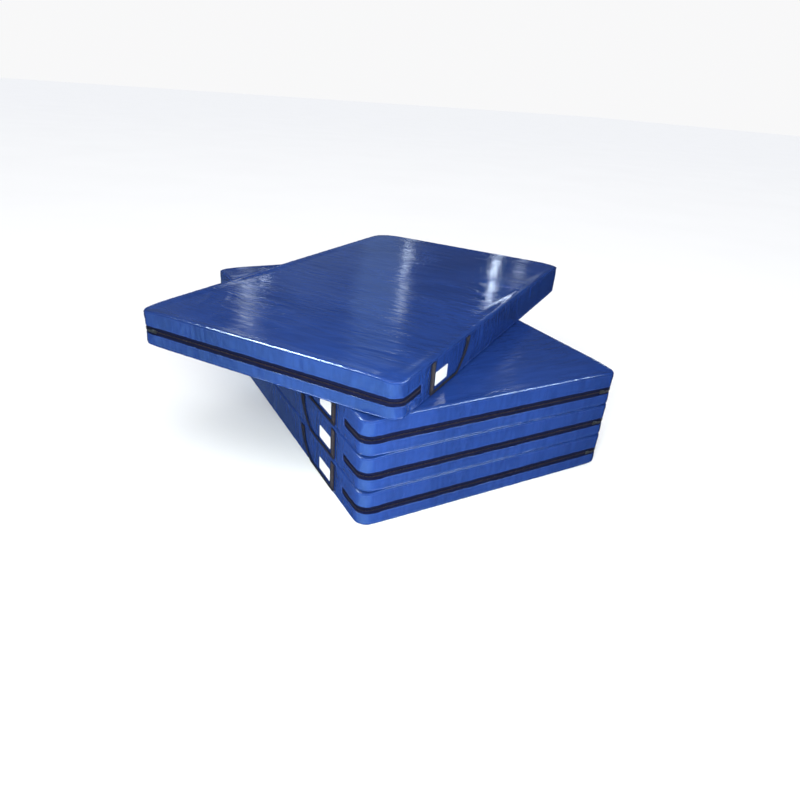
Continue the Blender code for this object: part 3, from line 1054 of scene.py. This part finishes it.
def tape(name, low, high):
    """One side of the zip's tape, tucked behind the cover's hem."""
    travel = zip_travel(0.008, WRAP + TAPE_END)
    plan, out = outline(travel)
    rows, cloth = [], []
    for z in np.linspace(high, low, TAPE_ROWS):
        ripple = 0.0004 * gradient_noise(travel / 0.02, travel * 0 + z * 90, 71)
        points = plan + out * (ripple - CLOTH - 0.0009)[:, None]
        rows.append(np.column_stack((points, np.full(len(travel), z))))
        cloth.append(np.column_stack((travel, np.full(len(travel), z))))
    faces, _ = grid_faces(TAPE_ROWS, len(travel))
    return new_piece(name, np.vstack(rows), faces, np.vstack(cloth)[faces.ravel()], "zip_tape")


class GYMMAT_OT_zip(bpy.types.Operator):
    """Make each mat's zip: two woven tapes, the coil that joins them and the hem stitching, and give the
    slider its finish
    """

    bl_idname = "gym_mat.zip"
    bl_label = "Zips"

    def execute(self, context):
        cover = context.scene.gym_mat_cover
        settings = context.scene.gym_mat_zip
        tuck = 0.0045  # of each tape behind the hem
        parting = 0.0003  # of each tape's edge from the middle of the chain
        length = 2 * travel_at(WRAP + TAPE_END)
        tapes = (
            ("zip_tape_upper", CHAIN_MIDDLE + parting, SLOT[1] + tuck),
            ("zip_tape_lower", SLOT[0] - tuck, CHAIN_MIDDLE - parting),
        )
        for part, low, high in tapes:
            strip = tape(part, low, high)
            thicken(strip, thickness=0.0006)
            set_out(strip, part, material_slot="zip_tape", declare=stretched_on_foam(length, high - low))
        set_out(self.coil(settings), "zip_chain", material_slot="zip_coil")
        travel = zip_travel(0.0042)
        rows = [
            stitches("hem_stitches", travel, z, cover, HEM_STITCH)
            for z in (SLOT[1] + 0.0036, SLOT[0] - 0.0036)
        ]
        set_out(joined(rows, "hem_stitches"), "hem_stitches", nodes=(), material_slot="vinyl")
        set_out(self.bar_tacks(cover), "bar_tacks", nodes=(), material_slot="webbing")
        for number in MATS:
            for part in ("zip_slider", "zip_pull"):
                slots = bpy.data.objects[f"mat_{number}_{part}"].material_slots
                slots[0].material = finish_named("slider_metal")
        return {"FINISHED"}

    def coil(self, settings):
        """Turns of the two coils, meshed like combed fingers along the chain."""
        half = (CHAIN[1] - CHAIN[0]) / 2
        halves = []
        for side in (1, -1):
            travel = zip_travel(settings.tooth_pitch) + side * settings.tooth_pitch / 4
            plan, out = outline(travel)
            places = []
            for (x, y), (nx, ny) in zip(plan + out * 0.0001, out):
                point = (x, y, CHAIN_MIDDLE + side * half * 0.40)
                lean = (-ny * 0.16 * side, nx * 0.16 * side, 1.0)
                places.append(frame_at(point, lean, (nx, ny, 0.0)))
            turn = bead(half * 1.25, settings.tooth_pitch * 0.46, 0.0020)
            halves.append(tiled("zip_chain", turn, places, "zip_coil"))
        return joined(halves, "zip_chain")

    def bar_tacks(self, cover):
        """A block of close upright stitches across each end of the zip."""
        columns, rows = 5, 9
        heights = np.linspace(SLOT[0] + 0.002, SLOT[1] - 0.002, rows)
        blocks = []
        for side in (-1, 1):
            for step in range(columns):
                travel = np.full(rows, side * travel_at(WRAP + 0.0012 + 0.0011 * step))
                blocks.append(stitches("tack", travel, heights, cover, TACK_STITCH, math.radians(90)))
        return joined(blocks, "bar_tacks")


# ---------------------------------------------------------------------------
# Loops and labels
# ---------------------------------------------------------------------------

WEBBING = 0.026  # width of the near leg's webbing
NEAR_LEG = (0.243, 0.269)  # its edges, from the zip end
LOOP_LOW, LOOP_HIGH = cad_box("carry_loop_right")[0].z, cad_box("carry_loop_right")[1].z
GRIP_TOP = LOOP_LOW + 0.012
FAR_LEG_TOP = 0.585
FAR_LEG_SWEEP = 0.100
FAR_LEG_WIDTH = (0.040, 0.022)
ZIGZAGS = (0.2482, 0.2560, 0.2638)  # middles of the near leg's zigzag seams, from the zip end


def loop_edges():
    """Outer and inner edge of the carry loop as (along, up), point for point."""
    outer = [(NEAR_LEG[0], z) for z in np.linspace(LOOP_HIGH, LOOP_LOW + 0.012, 16)]
    inner = [(NEAR_LEG[1], z) for z in np.linspace(LOOP_HIGH, GRIP_TOP + 0.002, 16)]
    outer += [(NEAR_LEG[0] + 0.002, LOOP_LOW + 0.003), (NEAR_LEG[0] + 0.012, LOOP_LOW)]
    inner += [(NEAR_LEG[1] + 0.001, GRIP_TOP + 0.0005), (NEAR_LEG[1] + 0.004, GRIP_TOP)]
    far = FAR_LEG_TOP - FAR_LEG_SWEEP
    for share in np.linspace(0.06, 0.97, 26):
        outer.append((NEAR_LEG[0] + 0.012 + share * (far - NEAR_LEG[0]), LOOP_LOW))
        inner.append((NEAR_LEG[1] + 0.004 + share * (far - 0.020 - NEAR_LEG[1]), GRIP_TOP))
    for drop in np.linspace(1.0, 0.0, 17):
        middle = FAR_LEG_TOP - FAR_LEG_SWEEP * drop**2
        half = (FAR_LEG_WIDTH[0] + (FAR_LEG_WIDTH[1] - FAR_LEG_WIDTH[0]) * drop) / 2
        low = LOOP_LOW + (LOOP_HIGH - LOOP_LOW) * (1 - drop)
        outer.append((middle + half, low))
        inner.append((middle - half, max(low, GRIP_TOP + 0.0015 * (1 - drop))))
    return np.array(outer), np.array(inner)


def loop_sheet():
    """The +X side's carry loop as an open strip of webbing with thick selvedges, its length and its area."""
    outer, inner = loop_edges()
    middle = (outer + inner) / 2
    run = np.concatenate(([0.0], np.cumsum(np.hypot(*np.diff(middle, axis=0).T))))
    face = cad_box("carry_loop_right")[1].x
    rows, cloth = [], []
    lanes = np.linspace(0.0, 1.0, 9)
    for lane in lanes:
        edge = inner + (outer - inner) * lane
        selvedge = 0.0003 * (abs(2 * lane - 1) > 0.7)
        wave = 0.0004 * gradient_noise(run / 0.05, run * 0 + lane, 81)
        x = face - 0.0006 + np.minimum(wave, 0.0002) + selvedge
        rows.append(np.column_stack((np.broadcast_to(x, run.shape), edge[:, 0] + ZIP_END, edge[:, 1])))
        cloth.append(np.column_stack((run, np.full(len(run), lane * WEBBING))))
    faces, _ = grid_faces(len(lanes), len(run))
    area = sum(
        np.hypot(*(outer[i] - inner[i])) * (run[min(i + 1, len(run) - 1)] - run[max(i - 1, 0)]) / 2
        for i in range(len(run))
    )
    cloth = np.vstack(cloth)[faces.ravel()]
    return new_piece("carry_loop", np.vstack(rows), faces, cloth, "webbing"), run[-1], area


def mirrored(obj):
    """A copy of a +X side piece for the -X side, its faces pointing out again."""
    copy = own_copy(obj)
    copy.data.transform(Matrix.Diagonal((-1.0, 1.0, 1.0, 1.0)))
    copy.data.flip_normals()
    return copy


def set_out_pair(obj, part, **settings):
    """Sets out a +X side piece and its mirror image; part and body names gain _left or _right."""
    body = settings.pop("body", None)
    nodes = settings.pop("nodes", None)
    for side, piece in (("left", mirrored(obj)), ("right", obj)):
        side_nodes = nodes if nodes is None else tuple(f"{node}_{side}" for node in nodes)
        set_out(piece, f"{part}_{side}", nodes=side_nodes, body=body and f"{body}_{side}", **settings)


def thread_row(points, length, thickness, finish):
    """Stitches on a long side, one on the middle of each gap between (x, along, up) points."""
    points = np.asarray(points, float) + np.array((0.0, ZIP_END, 0.0))
    places = []
    for start, end in zip(points, points[1:]):
        places.append(frame_at((start + end) / 2, end - start, (1.0, 0.0, 0.0)))
    return tiled("thread_row", bead(length, thickness, thickness), places, finish)


def zigzag(x, low, high, centre, half, pitch):
    """Corner points of a zigzag that climbs a long side."""
    count = max(2, round((high - low) / pitch))
    sides = [1 if i % 2 else -1 for i in range(count + 1)]
    return [(x, centre + half * side, low + (high - low) * i / count) for i, side in enumerate(sides)]


class GYMMAT_OT_loops(bpy.types.Operator):
    """Make the carry loops and the strips that they are sewn to"""

    bl_idname = "gym_mat.loops"
    bl_label = "Carry Loops"

    def execute(self, context):
        strap, length, area = loop_sheet()
        thicken(strap, thickness=0.0015)
        surface = cad_box("carry_loop_right")[1].x

        def declare_loop(copy, number):
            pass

        set_out_pair(strap, "carry_loop", body="carry_loop", material_slot="webbing", declare=declare_loop)
        thread_x = surface - 0.0004
        rows = []
        for centre in ZIGZAGS:
            seam = zigzag(thread_x, low=0.020, high=0.132, centre=centre, half=0.0026, pitch=0.0034)
            rows.append(thread_row(seam, length=0.0056, thickness=0.0012, finish="buff_thread"))
        for drop in (0.006, 0.014):
            tail = [(thread_x, FAR_LEG_TOP - 0.015 + 0.0030 * i, LOOP_HIGH - drop) for i in range(11)]
            rows.append(thread_row(tail, length=0.0024, thickness=0.0009, finish="buff_thread"))
        sewing = joined(rows, "loop_stitches")
        set_out_pair(sewing, "loop_stitches", nodes=(), body="carry_loop", material_slot="webbing")
        self.add_strips()
        return {"FINISHED"}

    def add_strips(self):
        """The strip sewn behind each near leg, with thick selvedges and a row of stitches along each."""
        low, high = cad_box("sewn_strip_right")
        columns, lines = 13, 33
        along = np.linspace(low.y, high.y, columns)
        rows, cloth = [], []
        for z in np.linspace(high.z, low.z, lines):
            frayed = 0.0004 * gradient_noise(along / 0.01, along * 0 + z * 120, 82)
            thick = 0.0003 * (np.abs(along - (low.y + high.y) / 2) > 0.016)
            x = high.x - 0.0005 + thick + frayed
            rows.append(np.column_stack((x, along, np.full(columns, z))))
            cloth.append(np.column_stack((np.full(columns, z), along)))
        faces = grid_faces(lines, columns)[0][:, ::-1]
        strip = new_piece("sewn_strip", np.vstack(rows), faces, np.vstack(cloth)[faces.ravel()], "webbing")
        thicken(strip, thickness=0.0009)
        size = (high.y - low.y, high.z - low.z)
        set_out_pair(strip, "sewn_strip", material_slot="webbing", declare=stretched_on_foam(*size))
        edges = []
        pitch = 0.0036
        steps = int((high.z - low.z - 0.004) / pitch)
        for centre in (low.y - ZIP_END + 0.0022, high.y - ZIP_END - 0.0022):
            points = [(high.x - 0.0001, centre, low.z + 0.002 + pitch * i) for i in range(steps + 1)]
            edges.append(thread_row(points, length=0.0028, thickness=0.0008, finish="buff_thread"))
        set_out_pair(joined(edges, "strip_stitches"), "strip_stitches", nodes=(), material_slot="webbing")


class GYMMAT_OT_labels(bpy.types.Operator):
    """Make the blank labels: a card with rounded corners and a pressed rim, sewn round"""

    bl_idname = "gym_mat.labels"
    bl_label = "Labels"

    def execute(self, context):
        low, high = cad_box("label_right")
        size = high - low
        deselect_all()
        bpy.ops.mesh.primitive_cube_add(size=1.0, location=(low + high) / 2)
        label = context.object
        label.scale = size
        bpy.ops.object.transform_apply(location=True, rotation=False, scale=True)
        bpy.ops.object.mode_set(mode="EDIT")
        select_parts(label, "EDGE", lambda edge: abs((edge.verts[0].co - edge.verts[1].co).x) > size.x * 0.9)
        bpy.ops.mesh.bevel(offset=0.006, segments=4)
        select_parts(label, "FACE", lambda face: face.normal.x > 0.9)
        bpy.ops.mesh.inset(thickness=0.0034, depth=0.0)
        bpy.ops.mesh.inset(thickness=0.0005, depth=-0.0002)
        bpy.ops.mesh.inset(thickness=0.0009, depth=0.0002)
        bpy.ops.object.mode_set(mode="OBJECT")
        label.data.materials.append(finish_named("label"))
        label.data.shade_smooth()
        label.data.set_sharp_from_angle(angle=math.radians(8))
        set_out_pair(label, "label", material_slot="label")
        inset = 0.0022
        left, right = low.y - ZIP_END + inset, high.y - ZIP_END - inset
        bottom, top = low.z + inset, high.z - inset
        corners = ((left, bottom), (right, bottom), (right, top), (left, top), (left, bottom))
        rows = []
        for (a0, z0), (a1, z1) in zip(corners, corners[1:]):
            count = round(math.hypot(a1 - a0, z1 - z0) / 0.0034)
            share = np.linspace(0.0, 1.0, count + 1)
            along, up = a0 + (a1 - a0) * share, z0 + (z1 - z0) * share
            points = np.column_stack((np.full(count + 1, high.x), along, up))
            rows.append(thread_row(points, length=0.0026, thickness=0.0006, finish="blue_thread"))
        set_out_pair(joined(rows, "label_stitches"), "label_stitches", nodes=(), material_slot="label")
        return {"FINISHED"}


# ---------------------------------------------------------------------------
# Stage
# ---------------------------------------------------------------------------


class GYMMAT_OT_stage(bpy.types.Operator):
    """Set up the floor, lights and camera"""

    bl_idname = "gym_mat.stage"
    bl_label = "Stage"

    def execute(self, context):
        stage = context.scene.gym_mat_stage
        self.add_floor(stage)
        self.add_camera(context, stage)
        self.add_world(context)
        self.add_lights(stage)
        context.scene.view_settings.view_transform = "Standard"
        return {"FINISHED"}

    def add_floor(self, stage):
        deselect_all()
        bpy.ops.mesh.primitive_plane_add(size=160.0, location=(0.0, 0.0, -0.0005))
        floor = bpy.context.object
        floor.name = "floor"
        floor.data.materials.append(floor_finish(stage))
        floor.visible_glossy = False

    def add_camera(self, context, stage):
        camera = bpy.data.objects.new("camera", bpy.data.cameras.new("camera"))
        context.scene.collection.objects.link(camera)
        turned = Matrix.Rotation(-stage.heading, 4, "Z") @ Matrix.Rotation(math.pi / 2 - stage.pitch, 4, "X")
        turned = turned @ Matrix.Rotation(stage.roll, 4, "Z")
        camera.matrix_world = Matrix.Translation(stage.eye) @ turned
        camera.data.sensor_width = 36.0
        camera.data.lens = stage.focal_length
        camera.data.clip_end = 200.0
        context.scene.camera = camera

    def add_world(self, context):
        """A white surround that lights evenly, seen in glossy surfaces as a dim blue room.

        The room fades towards +X and +Y, and has a teal glow low on its -X, -Y side."""
        world = bpy.data.worlds.new("studio")
        context.scene.world = world
        world.use_nodes = True
        sky = Nodes(world.node_tree)
        way = sky.node("TexCoord", output="Generated")
        x, y, z = (sky.node("SeparateXYZ", inputs={"Vector": way}, output=axis) for axis in "XYZ")
        stops = (
            (0.02, (0.16, 0.24, 0.36)),
            (0.12, (0.26, 0.36, 0.60)),
            (0.50, (0.13, 0.19, 0.36)),
            (0.95, (0.36, 0.50, 0.80)),
        )
        tint = sky.node("ValToRGB", {"stops": stops}, {0: z})
        patches = sky.node("TexNoise", inputs={"Vector": way, "Scale": 3.2, "Detail": 3.0})
        strength = sky.span(patches, 0.35, 0.65, 0.35, 1.6)
        strength = strength * sky.span(x, 0.35, 0.84, 1.0, 0.10) * sky.span(y, -0.6, 0.9, 1.0, 0.5)
        room = sky.node("VectorMath", {"operation": "SCALE"}, {0: tint, "Scale": strength})
        glow_way = Vector((-0.62, -0.55, -0.45)).normalized()
        toward = sky.node("VectorMath", {"operation": "DOT_PRODUCT"}, {0: way, 1: glow_way}, output="Value")
        glow = sky.span(toward, 0.50, 1.0) * sky.span(z, 0.0, -0.22)
        teal = (0.65, 1.35, 1.4)
        colour = sky.node("VectorMath", {"operation": "MULTIPLY_ADD"}, {0: glow, 1: teal, 2: room})
        surround, seen = (1.03, 1.04, 1.06), (0.94, 0.94, 0.945)
        for ray, other in (("Is Diffuse Ray", surround), ("Is Camera Ray", seen)):
            colour = sky.mix(sky.node("LightPath", output=ray), colour, other)
        connect(sky.tree, sky.tree.nodes["Background"].inputs["Color"], colour)

    def add_lights(self, stage):
        """One soft light for all surfaces over the stack, one low one, and lights seen only in the gloss."""
        eye = Vector(stage.eye)

        def area(name, place, target, size, radiance, colour=(1.0, 1.0, 1.0), diffuse=True, gloss=True):
            data = bpy.data.lights.new(name, "AREA")
            data.shape = "RECTANGLE"
            data.size, data.size_y = size
            data.energy = radiance * math.pi * size[0] * size[1]
            data.color = colour
            lamp = bpy.data.objects.new(name, data)
            bpy.context.scene.collection.objects.link(lamp)
            lamp.location = place
            lamp.rotation_euler = (Vector(target) - Vector(place)).to_track_quat("-Z", "Y").to_euler()
            lamp.visible_camera = False
            lamp.visible_diffuse = diffuse
            lamp.visible_glossy = gloss

        pale = (0.70, 0.92, 1.0)
        area("overhead", (-0.8, -1.2, 5.5), (0.0, 0.0, 0.3), (4.5, 4.5), 1.0)
        greenish = (0.98, 1.06, 1.0)
        area("near", (-1.05, -2.05, 1.10), (-0.35, -0.9, 0.40), (0.6, 0.6), 34.0, greenish, gloss=False)
        area("left_edge", (-1.8, 0.35, 2.8), (-0.8, -0.6, 0.6), (2.6, 1.0), 46.0, pale, diffuse=False)
        area("right_edge", (1.4, -1.8, 2.6), (0.2, -0.95, 0.45), (2.6, 1.2), 24.0, pale, diffuse=False)
        white, blue = (0.72, 0.84, 1.0), (0.36, 0.58, 1.0)
        distance = 9.0
        # upright strips behind the stack; each is (heading, lowest, highest, width, radiance, colour)
        strips = (
            (15.0, 2.10, 3.15, 0.16, 2.2, white),
            (16.9, 1.95, 2.22, 0.05, 9.0, white),
            (27.8, 1.40, 2.25, 0.60, 0.17, blue),
            (27.4, 2.25, 3.70, 0.76, 0.42, blue),
            (30.0, 1.60, 2.75, 0.08, 2.6, white),
            (38.3, 1.85, 2.55, 0.03, 22.0, white),
            (40.6, 1.90, 3.10, 0.14, 1.1, white),
        )
        for number, (heading, low, high, width, radiance, colour) in enumerate(strips, 1):
            angle = math.radians(heading)
            x = eye.x + distance * math.sin(angle)
            y = eye.y + distance * math.cos(angle)
            middle = (low + high) / 2
            place, target = (x, y, middle), (eye.x, eye.y, middle)
            area(f"strip_{number}", place, target, (width, high - low), radiance, colour, diffuse=False)


class GYMMAT_PT_panel(bpy.types.Panel):
    """Buttons for the stack's pieces"""

    bl_idname = "GYMMAT_PT_panel"
    bl_label = "Gym Mats"
    bl_space_type = "VIEW_3D"
    bl_region_type = "UI"
    bl_category = "Gym Mats"

    def draw(self, context):
        for operator in OPERATORS:
            self.layout.operator(operator.bl_idname)


GROUPS = (
    (GymMatCover, "gym_mat_cover"),
    (GymMatZip, "gym_mat_zip"),
    (GymMatTrim, "gym_mat_trim"),
    (GymMatStage, "gym_mat_stage"),
)
OPERATORS = (
    GYMMAT_OT_foam,
    GYMMAT_OT_cover,
    GYMMAT_OT_zip,
    GYMMAT_OT_loops,
    GYMMAT_OT_labels,
    GYMMAT_OT_stage,
)


def register():
    for group, name in GROUPS:
        bpy.utils.register_class(group)
        setattr(bpy.types.Scene, name, bpy.props.PointerProperty(type=group))
    for operator in OPERATORS:
        bpy.utils.register_class(operator)
    bpy.utils.register_class(GYMMAT_PT_panel)


def unregister():
    bpy.utils.unregister_class(GYMMAT_PT_panel)
    for operator in reversed(OPERATORS):
        bpy.utils.unregister_class(operator)
    for group, name in reversed(GROUPS):
        delattr(bpy.types.Scene, name)
        bpy.utils.unregister_class(group)


def main():
    register()
    bpy.ops.gym_mat.foam()
    bpy.ops.gym_mat.cover()
    bpy.ops.gym_mat.zip()
    bpy.ops.gym_mat.loops()
    bpy.ops.gym_mat.labels()
    bpy.ops.gym_mat.stage()


if __name__ == "__main__":
    main()
